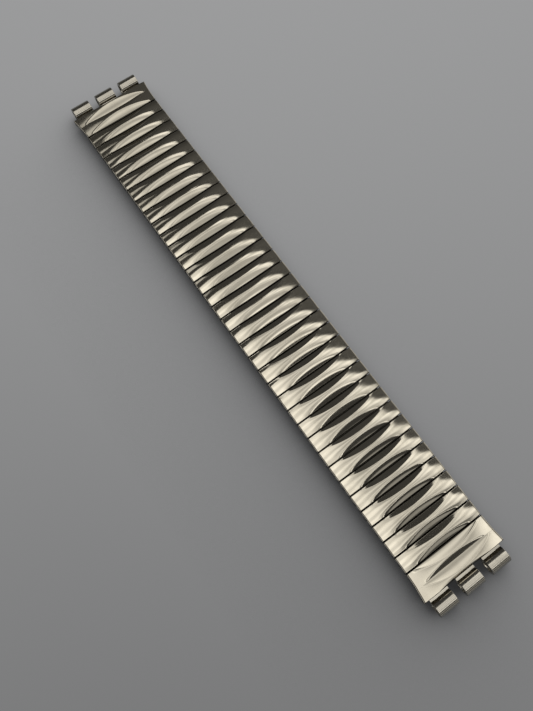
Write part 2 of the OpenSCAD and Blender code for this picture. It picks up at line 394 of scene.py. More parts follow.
@dataclass(frozen=True)
class CoverPlate(PressedPlate):
    """The pressed top of one link: a waisted ridge between two scoops, domed where it is wide."""

    bulge: float = 0.03
    swell: float = 0.08
    crease: float = 0.006
    curve_a: float = 0.0
    curve_b: float = -0.2

    @cached_property
    def scoops(self) -> dict[int, Scoop]:
        """The scoops beside the ridge, by the sign of their X."""
        reach = SIZES.cover_half - SIZES.ridge_w / 2
        end_y = SIZES.half_w - SIZES.scoop_margin
        return {-1: Scoop(reach, end_y, self.curve_a), 1: Scoop(reach, end_y, self.curve_b)}

    def profile(self, y: float) -> list[Spot]:
        """Points of the top at y, from the -X edge to the +X edge."""
        half = SIZES.cover_half
        edge = half - self.rim[0][0]
        crest = min(half - self.scoops[1].crest(y), edge - self.scoops[1].least)
        bulge = self.bulge + self.swell * max(crest - SIZES.ridge_w / 2, 0.0)
        ridge = [(s * crest, bulge * s * s + (self.crease if s in CREASES else 0.0)) for s in RIDGE_STEPS]
        left, right = self._flank(y, crest, bulge, -1), self._flank(y, crest, bulge, 1)
        return [(-x, depth) for x, depth in reversed(left)] + ridge + right

    def _flank(self, y: float, crest: float, bulge: float, side: int) -> list[Spot]:
        """Points from the crest outwards to the cover's edge on one side.

        Args:
            y: Distance from mid-width.
            crest: Distance from the cover's middle to the crest.
            bulge: Depth of the crest under the ridge's top.
            side: -1 or 1.

        Returns:
            The distance from the middle and the depth of each point.
        """
        scoop, edge = self.scoops[side], SIZES.cover_half - self.rim[0][0]
        points = [(crest, bulge)]
        for share in SCOOP_STEPS + (1.0,):
            points.append((crest + (edge - crest) * share, scoop.drop(y, share, bulge)))
        floor = points[-1][1]
        return points + [(SIZES.cover_half - inset, floor + drop) for inset, drop in self.rim[1:]]

    def underside(self) -> list[float]:
        """Columns of the underside, with one at each skirt's inner face."""
        columns = len(self.profile(0.0))
        inner = SIZES.cover_half - SIZES.skirt_t
        middle = [inner * (2 * i / (columns - 3) - 1) for i in range(columns - 2)]
        return [-SIZES.cover_half] + middle + [SIZES.cover_half]

    def build(self) -> BMesh:
        """Builds the cover with its two skirts turned down over the sleeve's sides."""
        mesh = super().build()
        inner = SIZES.cover_half - SIZES.skirt_t
        foot = SIZES.upper_z + SIZES.skirt_rise
        for low, high in ((-SIZES.cover_half, -inner), (inner, SIZES.cover_half)):
            fold_down(mesh, (low, -SIZES.sleeve_half), (high, SIZES.sleeve_half), foot)
        return mesh


@dataclass(frozen=True)
class CapPlate(PressedPlate):
    """The pressed end cap: two ridges, a groove, flared sides, wings and an end wall."""

    bulge: float = 0.012
    curve_in: float = 0.3
    curve_out: float = 0.1
    inner_columns: int = 6

    @cached_property
    def scoops(self) -> tuple[Scoop, Scoop, Scoop, Scoop]:
        """The four scoops, from the inner edge outwards."""
        half_ridge = SIZES.cap_ridge_w / 2
        near = SIZES.half_w - SIZES.cap_scoop_in
        far = SIZES.half_w - SIZES.cap_scoop_out
        return (
            Scoop(SIZES.cap_ridge_1 - half_ridge, near, self.curve_in),
            Scoop(SIZES.cap_groove - SIZES.cap_ridge_1 - half_ridge, far, self.curve_out),
            Scoop(SIZES.cap_ridge_2 - half_ridge - SIZES.cap_groove, near, self.curve_in),
            Scoop(SIZES.cap_l - SIZES.cap_ridge_2 - half_ridge, far, self.curve_out),
        )

    def half_width(self, x: float) -> float:
        """Half the cap's width at x, along its flared side."""
        return SIZES.half_w + SIZES.flare_r - math.sqrt(SIZES.flare_r**2 - x * x)

    def profile(self, y: float) -> list[Spot]:
        """Points of the top at y, from the inner edge outwards."""
        inner, near, far, outer = self.scoops
        groove, start, end = SIZES.cap_groove, self.rim[0][0], SIZES.cap_l - self.rim[0][0]
        crest_1 = (max(inner.crest(y), start + inner.least), groove - near.crest(y))
        crest_2 = (groove + far.crest(y), min(SIZES.cap_l - outer.crest(y), end - outer.least))
        first, low_1, low_2, last = (scoop.drop(y, 1.0, self.bulge) for scoop in self.scoops)
        return [
            *((inset, first + drop) for inset, drop in reversed(self.rim)),
            *reversed(self._slope(inner, y, crest_1[0], start)),
            *self._ridge(crest_1),
            *self._slope(near, y, crest_1[1], groove),
            (groove, max(low_1, low_2)),
            *reversed(self._slope(far, y, crest_2[0], groove)),
            *self._ridge(crest_2),
            *self._slope(outer, y, crest_2[1], end),
            *((SIZES.cap_l - inset, last + drop) for inset, drop in self.rim),
        ]

    def _slope(self, scoop: Scoop, y: float, crest: float, floor: float) -> list[Spot]:
        """Points down one scoop at y, from its crest to its floor line."""
        return [(crest + (floor - crest) * share, scoop.drop(y, share, self.bulge)) for share in SCOOP_STEPS]

    def _ridge(self, crests: Spot) -> list[Spot]:
        """Points over one ridge, between its two crests."""
        middle, half = sum(crests) / 2, (crests[1] - crests[0]) / 2
        return [(middle + s * half, self.bulge * s * s) for s in CAP_RIDGE_STEPS]

    def underside(self) -> list[float]:
        """Columns of the underside, with one at each fold's inner face."""
        wall, last = SIZES.cap_l - SIZES.wing_t, self.inner_columns - 1
        inner = [SIZES.skirt_t + (SIZES.wing_x - SIZES.skirt_t) * i / last for i in range(last + 1)]
        rest = len(self.profile(0.0)) - len(inner) - 2
        outer = [SIZES.wing_x + (wall - SIZES.wing_x) * (i + 1) / rest for i in range(rest)]
        return [0.0, *inner, *outer, SIZES.cap_l]

    def stations(self) -> list[float]:
        """Rows on one side, with one at the inner face of the wings."""
        rows = [y for y in super().stations() if y != ROW_AT_WING]
        return sorted({*rows, SIZES.half_w - SIZES.wing_t})

    def build(self) -> BMesh:
        """Builds the cap with its inner skirt, its end wall and its side wings."""
        mesh = super().build()
        skirt_foot = SIZES.upper_z + SIZES.skirt_rise
        fold_down(mesh, (0, -SIZES.sleeve_half), (SIZES.skirt_t, SIZES.sleeve_half), skirt_foot)
        wall_foot = SIZES.upper_z + SIZES.lug_sheet + SIZES.skirt_clear
        inner_y = SIZES.half_w - SIZES.wing_t
        fold_down(mesh, (SIZES.cap_l - SIZES.wing_t, -inner_y), (SIZES.cap_l, inner_y), wall_foot)
        for low, high in ((-SIZES.band_w, -inner_y), (inner_y, SIZES.band_w)):
            fold_down(mesh, (SIZES.wing_x, low), (SIZES.cap_l, high), SIZES.upper_z)
        return mesh


def round_off(mesh: BMesh, geometry: list[object], affect: str, radius: float, steps: int) -> None:
    """Rounds off edges or corners of a mesh."""
    bmesh.ops.bevel(
        mesh, geom=geometry, offset=radius, segments=steps, profile=0.5, affect=affect, material=-1
    )


def outline_face(mesh: BMesh, w: float, h: float, r: float, steps: int) -> Face:
    """Adds a rectangle with round corners in the XZ plane, centred on the origin.

    Args:
        mesh: Where the face goes.
        w: Width along X.
        h: Height along Z.
        r: Radius of the corners.
        steps: Segments of each corner.

    Returns:
        The new face.
    """
    turn = Matrix.Rotation(math.radians(90), 4, "X") @ Matrix.Diagonal((w / 2, h / 2, 1, 1))
    square = bmesh.ops.create_grid(mesh, x_segments=1, y_segments=1, size=1.0, matrix=turn)["verts"]
    round_off(mesh, square, "VERTICES", r, steps)
    return max(mesh.faces, key=lambda face: len(face.verts))


@dataclass(frozen=True)
class LugFrame:
    """The sheet-metal lug frame: doubled plate and three rolled knuckles, with no end sleeve as yet."""

    neck_r: float = 0.35
    edge_r: float = 0.07
    plate_r: float = 0.04
    loop_steps: int = 56
    neck_steps: int = 8
    corner_steps: int = 5
    edge_steps: int = 2

    def sleeve(self) -> BMesh:
        """Meant to build the end sleeve, a flat tube open at both ends, but returns an empty mesh.

        The inset takes no open edges, so it makes no wall, and the face that is deleted is the only one.
        """
        mesh = bmesh.new()
        middle = SIZES.upper_z + SIZES.upper_h / 2
        face = outline_face(mesh, SIZES.upper_w, SIZES.upper_h, SIZES.upper_corner_r, self.corner_steps)
        bmesh.ops.inset_region(mesh, faces=[face], thickness=SIZES.sleeve_wall, use_even_offset=True)
        bmesh.ops.delete(mesh, geom=[face], context="FACES_ONLY")
        bmesh.ops.translate(mesh, verts=mesh.verts, vec=(SIZES.end_x, SIZES.sleeve_half, middle))
        grown = bmesh.ops.extrude_face_region(mesh, geom=mesh.faces[:], use_keep_orig=True)["geom"]
        bmesh.ops.translate(mesh, verts=verts_of(grown), vec=(0, -2 * SIZES.sleeve_half, 0))
        bmesh.ops.recalc_face_normals(mesh, faces=mesh.faces)
        return mesh

    def plates(self) -> BMesh:
        """Builds the two layers of sheet between the end sleeve and the knuckles."""
        mesh = bmesh.new()
        end = SIZES.cap_x + SIZES.cap_l
        side = SIZES.end_x + SIZES.upper_w / 2
        layers = ((side - SIZES.sleeve_wall, SIZES.upper_z), (side, SIZES.upper_z - SIZES.lug_sheet))
        for start, foot in layers:
            size = Matrix.Diagonal((end - start, 2 * SIZES.lug_half, SIZES.lug_sheet, 1))
            middle = Matrix.Translation(((start + end) / 2, 0, foot + SIZES.lug_sheet / 2))
            box = bmesh.ops.create_cube(mesh, size=1.0, matrix=middle @ size)
            edges = dict.fromkeys(edge for v in box["verts"] for edge in v.link_edges)
            round_off(mesh, list(edges), "EDGES", self.plate_r, self.edge_steps)
        return mesh

    def strap(self, y: float) -> BMesh:
        """Builds one strap of sheet that runs out, rolls round into a knuckle and comes back.

        Args:
            y: Middle of the strap across the band.

        Returns:
            The closed strap.
        """
        mesh = bmesh.new()
        mid_r = SIZES.knuckle_d / 2 - SIZES.lug_sheet / 2
        half_t = SIZES.lug_sheet / 2
        start = SIZES.cap_x + SIZES.cap_l - SIZES.wing_t
        turn = Matrix.Rotation(math.radians(90), 4, "Z")
        face = outline_face(mesh, SIZES.knuckle_w, SIZES.lug_sheet, self.edge_r, self.edge_steps)
        bmesh.ops.transform(mesh, matrix=turn, verts=mesh.verts)
        bmesh.ops.translate(mesh, verts=mesh.verts, vec=(start, y, SIZES.upper_z + half_t))
        reach = mid_r + self.neck_r
        rise = SIZES.upper_z + half_t + self.neck_r - SIZES.knuckle_z
        sink = SIZES.knuckle_z - (SIZES.upper_z - half_t - self.neck_r)
        up_x = SIZES.knuckle_x - math.sqrt(reach**2 - rise**2)
        down_x = SIZES.knuckle_x - math.sqrt(reach**2 - sink**2)
        up_turn = math.radians(90) - math.asin(rise / reach)
        down_turn = math.radians(90) - math.asin(sink / reach)
        loop_turn = math.radians(180) + up_turn + down_turn
        tip = self._run(mesh, [face], up_x - start)
        tip = self._bend(mesh, tip, (up_x, SIZES.knuckle_z + rise), -up_turn, self.neck_steps)
        tip = self._bend(mesh, tip, (SIZES.knuckle_x, SIZES.knuckle_z), loop_turn, self.loop_steps)
        tip = self._bend(mesh, tip, (down_x, SIZES.knuckle_z - sink), -down_turn, self.neck_steps)
        self._run(mesh, tip, SIZES.cap_x + SIZES.cap_l - down_x)
        bmesh.ops.recalc_face_normals(mesh, faces=mesh.faces)
        return mesh

    @staticmethod
    def _run(mesh: BMesh, tip: list[Face], length: float) -> list[Face]:
        """Extends the strap straight along X and returns its new end."""
        keep = len(mesh.faces) == 1
        grown = bmesh.ops.extrude_face_region(mesh, geom=tip, use_keep_orig=keep)["geom"]
        bmesh.ops.translate(mesh, verts=verts_of(grown), vec=(length, 0, 0))
        return faces_of(grown)

    @staticmethod
    def _bend(mesh: BMesh, tip: list[Face], centre: Spot, angle: float, steps: int) -> list[Face]:
        """Rolls the strap about an axis along Y and returns its new end.

        Args:
            mesh: The strap.
            tip: The faces at its end.
            centre: X and Z of the axis.
            angle: Turn in radians, positive where the strap dips as it runs outwards.
            steps: Segments of the bend.

        Returns:
            The faces at the new end.
        """
        turned = bmesh.ops.spin(
            mesh,
            geom=tip,
            cent=(centre[0], 0, centre[1]),
            axis=(0, 1, 0),
            angle=angle,
            steps=steps,
            use_duplicate=False,
        )
        return faces_of(turned["geom_last"])

    def build(self) -> BMesh:
        """Builds the whole frame of side b."""
        whole = bmesh.new()
        spacing = SIZES.knuckle_w + SIZES.knuckle_gap
        parts = [self.sleeve(), self.plates()] + [self.strap(i * spacing) for i in (-1, 0, 1)]
        for part in parts:
            join(whole, part, Matrix.Identity(4))
            part.free()
        return whole


def join(target: BMesh, part: BMesh, matrix: Matrix) -> None:
    """Adds a placed copy of one mesh to another."""
    step = bpy.data.meshes.new("step")
    part.to_mesh(step)
    step.transform(matrix)
    if matrix.determinant() < 0:
        step.flip_normals()
    target.from_mesh(step)
    bpy.data.meshes.remove(step)


def put(name: str, data: bpy.types.ID) -> bpy.types.Object:
    """Makes an object of a mesh, a lamp or a camera and links it to the scene."""
    thing = bpy.data.objects.new(name, data)
    bpy.context.scene.collection.objects.link(thing)
    return thing


def put_mesh(name: str, mesh: BMesh) -> bpy.types.Object:
    """Makes an object of a finished mesh and frees it."""
    data = bpy.data.meshes.new(name)
    mesh.to_mesh(data)
    mesh.free()
    return put(name, data)


def finish_piece(mesh: BMesh, name: str, crease: float, flat_first: bool = False) -> bpy.types.Object:
    """Turns a mesh in millimetres into an object in metres at the origin.

    Args:
        mesh: The finished mesh, which is freed.
        name: The piece's name.
        crease: Angle in degrees over which an edge stays sharp.
        flat_first: Whether large faces keep their own normals beside narrow bevels.

    Returns:
        The object, linked to the scene.
    """
    bmesh.ops.scale(mesh, vec=(MM, MM, MM), verts=mesh.verts)
    limit = math.radians(crease)
    for face in mesh.faces:
        face.smooth = True
    for edge in mesh.edges:
        edge.smooth = len(edge.link_faces) == 2 and edge.calc_face_angle(0.0) < limit
    piece = put_mesh(name, mesh)
    if flat_first:
        weigh = piece.modifiers.new("flat_first", "WEIGHTED_NORMAL")
        weigh.keep_sharp = True
    return piece


@dataclass(frozen=True)
class Ramp:
    """A rise or fall between two values of an input, level outside them."""

    low: float
    high: float
    start: float
    end: float


@dataclass(frozen=True)
class Noise:
    """Size and unevenness of a noise pattern."""

    scale: float = 1.0
    detail: float = 1.0
    roughness: float = 0.5


class Graph:
    """A node tree that is written a node at a time."""

    def __init__(self, tree: bpy.types.NodeTree) -> None:
        """Keeps the tree and empties it."""
        self.tree = tree
        tree.nodes.clear()

    def feed(self, socket: Socket, value: Socket | float | Point) -> None:
        """Links a socket to another, or sets it to a number, a vector or a colour."""
        if isinstance(value, Socket):
            self.tree.links.new(value, socket)
        elif socket.type == "RGBA":
            socket.default_value = (*value, 1.0)
        else:
            socket.default_value = value

    def add(self, kind: str, inputs: Inputs | None = None, **values: object) -> bpy.types.Node:
        """Adds a node.

        Args:
            kind: The node's type.
            inputs: What feeds each input, by its name or number.
            **values: The node's properties, which are set first.

        Returns:
            The node.
        """
        node = self.tree.nodes.new(kind)
        for name, value in values.items():
            setattr(node, name, value)
        for key, value in (inputs or {}).items():
            self.feed(node.inputs[key], value)
        return node

    def math(self, operation: str, *inputs: Socket | float) -> Socket:
        """Adds a Math node whose inputs are sockets or numbers, and returns its output."""
        return self.add("ShaderNodeMath", dict(enumerate(inputs)), operation=operation).outputs[0]

    def total(self, *values: Socket | float) -> Socket:
        """Adds up two or more values."""
        return reduce(lambda one, other: self.math("ADD", one, other), values)

    def product(self, *values: Socket | float) -> Socket:
        """Multiplies two or more values."""
        return reduce(lambda one, other: self.math("MULTIPLY", one, other), values)

    def skewed(self, value: Socket, other: Socket, share: float) -> Socket:
        """Adds a share of another value to a value."""
        return self.math("MULTIPLY_ADD", other, share, value)

    def ramp(self, value: Socket, ramp: Ramp, smooth: bool = True) -> Socket:
        """Maps a value through a ramp, clamped, and returns the output."""
        inputs = dict(enumerate((value, ramp.low, ramp.high, ramp.start, ramp.end)))
        kind = "SMOOTHSTEP" if smooth else "LINEAR"
        return self.add("ShaderNodeMapRange", inputs, interpolation_type=kind).outputs["Result"]

    def vector(self, *parts: Socket | float) -> Socket:
        """Joins three values to a vector."""
        return self.add("ShaderNodeCombineXYZ", dict(enumerate(parts))).outputs[0]

    def parts(self, vector: Socket) -> bpy.types.NodeOutputs:
        """Splits a vector and returns its three values."""
        return self.add("ShaderNodeSeparateXYZ", {0: vector}).outputs

    def mixed(self, share: Socket, first: Socket, second: Socket) -> Socket:
        """Mixes two shaders."""
        return self.add("ShaderNodeMixShader", {0: share, 1: first, 2: second}).outputs[0]

    def blend(self, share: Socket, first: Socket | Colour, second: Colour) -> Socket:
        """Mixes two colours, the first of which may be a socket."""
        inputs = {"Factor": share, "A": first, "B": second}
        return self.add("ShaderNodeMix", inputs, data_type="RGBA").outputs["Result"]

    def background(self, colour: Colour, strength: Socket | float) -> Socket:
        """Adds a world background."""
        return self.add("ShaderNodeBackground", {"Color": colour, "Strength": strength}).outputs[0]

    def noise(self, vector: Socket, noise: Noise) -> Socket:
        """Adds a noise texture and returns its value."""
        inputs = {
            "Vector": vector,
            "Scale": noise.scale,
            "Detail": noise.detail,
            "Roughness": noise.roughness,
        }
        return self.add("ShaderNodeTexNoise", inputs, noise_dimensions="3D").outputs["Fac"]

    def mapped(self, vector: Socket, **values: Point) -> Socket:
        """Adds a Mapping node with the Scale or Rotation that is given, and returns its output."""
        return self.add("ShaderNodeMapping", {"Vector": vector, **values}).outputs["Vector"]


def shared_group(name: str, inputs: dict[str, str], outputs: dict[str, str]) -> Graph:
    """Starts a shader node group with named sockets.

    Args:
        name: The group's name.
        inputs: Socket type of each input by name.
        outputs: Socket type of each output by name.

    Returns:
        The group's graph, still empty.
    """
    tree = bpy.data.node_groups.new(name, "ShaderNodeTree")
    for way, sockets in (("INPUT", inputs), ("OUTPUT", outputs)):
        for label, kind in sockets.items():
            tree.interface.new_socket(name=label, in_out=way, socket_type=kind)
    return Graph(tree)


FLOAT = "NodeSocketFloat"
VECTOR = "NodeSocketVector"
PLAIN_NOISE = Noise()
# Drawn lines: how often they break off, how much is fine, and how they dull the steel
LINE_BREAKS = 2.5
FINE_NOISE = Noise(4.0, 2.0)
FINE_SHARE = 0.15
LINE_MEAN = 0.5
LINE_DULLS = 0.4
LINES_IN_SCOOPS = 0.125
DRAWN_SCALE = (300.0, 8.0, 300.0)
# Shift of the pattern from link to link, so that no two links are marked alike
LINK_SHIFT = 7.3
# Marks of wear, in repeats per metre
SMUDGE_NOISE = Noise(260.0, 4.0, 0.55)
SMUDGE_MASK = Ramp(0.42, 0.68, 0.0, 1.0)
SMUDGE_DULLS = 0.35
SCRATCHES_PER_M = (9000.0, 260.0, 260.0)
SCRATCH_TURNS = (0.5, 1.9, 2.7)
SCRATCH_MASK = Ramp(0.75, 0.8, 0.0, 0.7)
SCRATCH_ROUGHNESS = 0.08
# Painted shade at the gaps between the links: by share of a cover's width from its middle, by share of a
# link and by height
SHEET_EDGE = Ramp(0.445, 0.47, 0.0, 1.0)
GAP_SHADE_SPAN = Ramp(0.08, 0.11, 1.0, 0.0)
SLEEVE_BACKS = Ramp(1.0 * MM, 1.2 * MM, 0.0, 1.0)
PAINTED_SHADE_COLOUR = (0.035, 0.031, 0.025)


def polish_lines_group() -> bpy.types.NodeTree:
    """Fine drawn lines along the second axis of a vector, uneven in depth.

    Returns:
        The group, which puts out a height from 0 to 1.
    """
    graph = shared_group("polish_lines", {"Vector": VECTOR, "Count": FLOAT}, {"Height": FLOAT})
    source = graph.add("NodeGroupInput").outputs
    spread = graph.vector(source["Count"], LINE_BREAKS, 1.0)
    scaled = graph.add("ShaderNodeVectorMath", {0: source["Vector"], 1: spread}, operation="MULTIPLY")
    coarse = graph.product(graph.noise(scaled.outputs[0], PLAIN_NOISE), 1 - FINE_SHARE)
    fine = graph.product(graph.noise(scaled.outputs[0], FINE_NOISE), FINE_SHARE)
    graph.add("NodeGroupOutput", {"Height": graph.total(coarse, fine)})
    return graph.tree


def handling_group() -> bpy.types.NodeTree:
    """Smudges and hairline scratches of a worn band.

    Returns:
        The group, which puts out a smudge mask and a scratch mask from 0 to 1.
    """
    graph = shared_group("handling", {"Vector": VECTOR}, {"Smudge": FLOAT, "Scratch": FLOAT})
    place = graph.add("NodeGroupInput").outputs["Vector"]
    smudge = graph.ramp(graph.noise(place, SMUDGE_NOISE), SMUDGE_MASK)
    masks = []
    for turn in SCRATCH_TURNS:
        turned = graph.mapped(place, Rotation=(0.0, 0.0, turn))
        line = graph.noise(graph.mapped(turned, Scale=SCRATCHES_PER_M), PLAIN_NOISE)
        masks.append(graph.ramp(line, SCRATCH_MASK))
    scratch = reduce(lambda one, other: graph.math("MAXIMUM", one, other), masks)
    graph.add("NodeGroupOutput", {"Smudge": smudge, "Scratch": scratch})
    return graph.tree


class Coordinates(Enum):
    """What a finish's drawn lines follow."""

    PRESS = "press"
    OBJECT = "object"


@dataclass(frozen=True)
class SteelFinish:
    """A steel finish: its colour, its gloss, the size of its marks in millimetres and the strength of its
    painted shade at the gaps.
    """

    name: str
    colour: Colour
    shade: Colour
    roughness: float
    smudged: float
    lines_from: Coordinates
    line_count: float
    line_depth: float
    scratch_depth: float
    # Strength of the painted shade at the gaps between the links, blended towards a near-black colour
    grime: float = 0.0

    def build(self, lines: bpy.types.NodeTree, handling: bpy.types.NodeTree) -> bpy.types.Material:
        """Makes the material.

        Args:
            lines: The group of drawn lines.
            handling: The group of smudges and scratches.

        Returns:
            The material.
        """
        material = bpy.data.materials.new(self.name)
        material.use_nodes = True
        graph = Graph(material.node_tree)
        place = graph.add("ShaderNodeTexCoord").outputs["Object"]
        sheet = self._sheet(graph, place) if self.lines_from is Coordinates.PRESS else None
        along = sheet or graph.mapped(place, Scale=DRAWN_SCALE)
        drawn = graph.add("ShaderNodeGroup", {"Vector": along, "Count": self.line_count}, node_tree=lines)
        worn = graph.add("ShaderNodeGroup", {"Vector": place}, node_tree=handling)
        line, smudge, scratch = drawn.outputs["Height"], worn.outputs["Smudge"], worn.outputs["Scratch"]
        dull = graph.total(graph.product(smudge, SMUDGE_DULLS), graph.product(line, LINE_DULLS))
        tint = graph.blend(graph.math("MINIMUM", dull, 1.0), self.colour, self.shade)
        # Paints shade near black on the covers' edges at the gaps, or on the sleeves' backs under the gaps
        if self.grime > 0.0:
            painted_shade = self._edge_dirt(graph, sheet) if sheet else self._gap_dirt(graph, place)
            tint = graph.blend(graph.product(painted_shade, self.grime), tint, PAINTED_SHADE_COLOUR)
        gloss = graph.product(graph.total(smudge, line), self.smudged)
        scuffed = graph.product(scratch, SCRATCH_ROUGHNESS)
        depth = self._line_depth(graph) if sheet else self.line_depth
        relief = graph.product(graph.math("SUBTRACT", line, LINE_MEAN), depth)
        height = graph.math("SUBTRACT", relief, graph.product(scratch, self.scratch_depth))
        bump = graph.add("ShaderNodeBump", {"Strength": 1.0, "Distance": MM, "Height": height})
        inputs = {
            "Base Color": tint,
            "Metallic": 1.0,
            "Roughness": graph.total(gloss, scuffed, self.roughness),
            "Normal": bump.outputs["Normal"],
        }
        steel = graph.add("ShaderNodeBsdfPrincipled", inputs)
        graph.add("ShaderNodeOutputMaterial", {"Surface": steel.outputs["BSDF"]})
        return material

    @staticmethod
    def _sheet(graph: Graph, place: Socket) -> Socket:
        """Place on the pressed sheet, with the link's number as its third value."""
        sheet = graph.parts(graph.add("ShaderNodeUVMap", uv_map=SHEET_LAYER).outputs["UV"])
        number = graph.math("FLOOR", graph.math("DIVIDE", graph.parts(place)["X"], SIZES.pitch * MM))
        return graph.vector(sheet["X"], sheet["Y"], graph.product(number, LINK_SHIFT))

    def _line_depth(self, graph: Graph) -> Socket:
        """Depth of the drawn lines, which are deep on the ridges and shallow in the scoops."""
        ridge = graph.add("ShaderNodeAttribute", attribute_name=RIDGE_LAYER)
        depth = Ramp(0.0, 1.0, self.line_depth * LINES_IN_SCOOPS, self.line_depth)
        return graph.ramp(ridge.outputs["Fac"], depth)

    @staticmethod
    def _edge_dirt(graph: Graph, sheet: Socket) -> Socket:
        """Mask of the painted shade on the two edges of a cover that face the gaps."""
        aside = graph.math("ABSOLUTE", graph.math("SUBTRACT", graph.parts(sheet)["X"], 0.5))
        return graph.ramp(aside, SHEET_EDGE)

    @staticmethod
    def _gap_dirt(graph: Graph, place: Socket) -> Socket:
        """Mask of the painted shade on the bottom sleeves' backs under the gaps between the covers."""
        spot = graph.parts(place)
        gap = graph.math("PINGPONG", graph.math("DIVIDE", spot["X"], SIZES.pitch * MM), 0.5)
        return graph.product(graph.ramp(gap, GAP_SHADE_SPAN), graph.ramp(spot["Z"], SLEEVE_BACKS))


COVER_STEEL = SteelFinish(
    name="polished_cover_steel",
    colour=(0.80, 0.755, 0.66),
    shade=(0.62, 0.58, 0.49),
    roughness=0.05,
    smudged=0.035,
    lines_from=Coordinates.PRESS,
    line_count=11.0,
    line_depth=0.022,
    scratch_depth=0.0005,
    # Painted shade on the covers' edges at the gaps
    grime=0.95,
)
LUG_STEEL = SteelFinish(
    name="polished_lug_steel",
    colour=(0.78, 0.745, 0.67),
    shade=(0.60, 0.57, 0.50),
    roughness=0.1,
    smudged=0.06,
    lines_from=Coordinates.OBJECT,
    line_count=5.0,
    line_depth=0.012,
    scratch_depth=0.0005,
)
SLEEVE_STEEL = SteelFinish(
    name="rolled_sleeve_steel",
    colour=(0.60, 0.58, 0.53),
    shade=(0.44, 0.42, 0.38),
    roughness=0.28,
    smudged=0.12,
    lines_from=Coordinates.OBJECT,
    line_count=14.0,
    line_depth=0.004,
    scratch_depth=0.002,
    # Painted shade on the sleeves' backs under the gaps
    grime=0.95,
)
SPRING_STEEL = SteelFinish(
    name="drawn_spring_steel",
    colour=(0.52, 0.51, 0.48),
    shade=(0.36, 0.35, 0.32),
    roughness=0.24,
    smudged=0.10,
    lines_from=Coordinates.OBJECT,
    line_count=22.0,
    line_depth=0.003,
    scratch_depth=0.001,
)
FINISH_OF_SLOT = {
    "cover_steel": COVER_STEEL,
    "lug_steel": LUG_STEEL,
    "sleeve_steel": SLEEVE_STEEL,
    "spring_steel": SPRING_STEEL,
}


@dataclass
class Finishes:
    """The four steels of the band, by material slot of the record."""

    made: dict[str, bpy.types.Material] = field(default_factory=dict)

    def build(self) -> None:
        """Makes the shared groups and the four materials."""
        lines, handling = polish_lines_group(), handling_group()
        for slot, finish in FINISH_OF_SLOT.items():
            self.made[slot] = finish.build(lines, handling)

    def dress(self, piece: bpy.types.Object, slot: str) -> None:
        """Gives a piece one finish on all its faces."""
        piece.data.materials.clear()
        piece.data.materials.append(self.made[slot])


@dataclass
class Band:
    """The whole band: new covers, caps and lug frames round the CAD sleeves and staples."""

    finishes: Finishes
    made: list[str] = field(default_factory=list)

    def place(self, piece: bpy.types.Object, body: str, node: str, slot: str) -> None:
        """Sets a new piece on its body in place of a CAD node."""
        self.finishes.dress(piece, slot)
        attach(piece, body)
        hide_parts(node)
        self.made.append(piece.name)
        log.info("%s on %s: %d faces", piece.name, body, len(piece.data.polygons))

    def groups(self) -> Iterator[tuple[str, str, list[float]]]:
        """Name, body and top link centres of each group of links."""
        yield "mid", "links_mid", SIZES.group_tops(None, 0)
        for side in Side:
            for index in range(1, SIZES.segments + 1):
                name = f"{side.letter}{index}"
                yield name, f"links_{name}", SIZES.group_tops(side, index)

    def build_covers(self) -> None:
        """Builds the pressed covers of every group."""
        plate = CoverPlate().build()
        for name, body, centres in self.groups():
            group = bmesh.new()
            for x in centres:
                join(group, plate, Matrix.Translation((x, 0, 0)))
            piece = finish_piece(group, f"pressed_covers_{name}", PRESSED_CREASE)
            self.place(piece, body, f"covers_{name}", "cover_steel")
        plate.free()

    def build_ends(self) -> None:
        """Builds the cap and the lug frame of both ends."""
        cap, frame = CapPlate().build(), LugFrame().build()
        for side in Side:
            turn = Matrix.Diagonal((side.value, 1, 1, 1))
            name, body = side.letter, f"end_{side.letter}"
            pressed, rolled = bmesh.new(), bmesh.new()
            join(pressed, cap, turn @ Matrix.Translation((SIZES.cap_x, 0, 0)))
            piece = finish_piece(pressed, f"pressed_cap_{name}", PRESSED_CREASE)
            self.place(piece, body, f"end_cap_{name}", "cover_steel")
            join(rolled, frame, turn)
            piece = finish_piece(rolled, f"rolled_lugs_{name}", ROLLED_CREASE, flat_first=True)
            self.place(piece, body, f"lug_frame_{name}", "lug_steel")
        cap.free()
        frame.free()

    def dress_cad(self, nodes: dict[str, bpy.types.Object]) -> None:
        """Gives the CAD nodes that stay visible their steels."""
        for name, node in nodes.items():
            if "staples" in name:
                self.finishes.dress(node, "spring_steel")
            elif name.startswith(("sleeves", "bridge")):
                self.finishes.dress(node, "sleeve_steel")


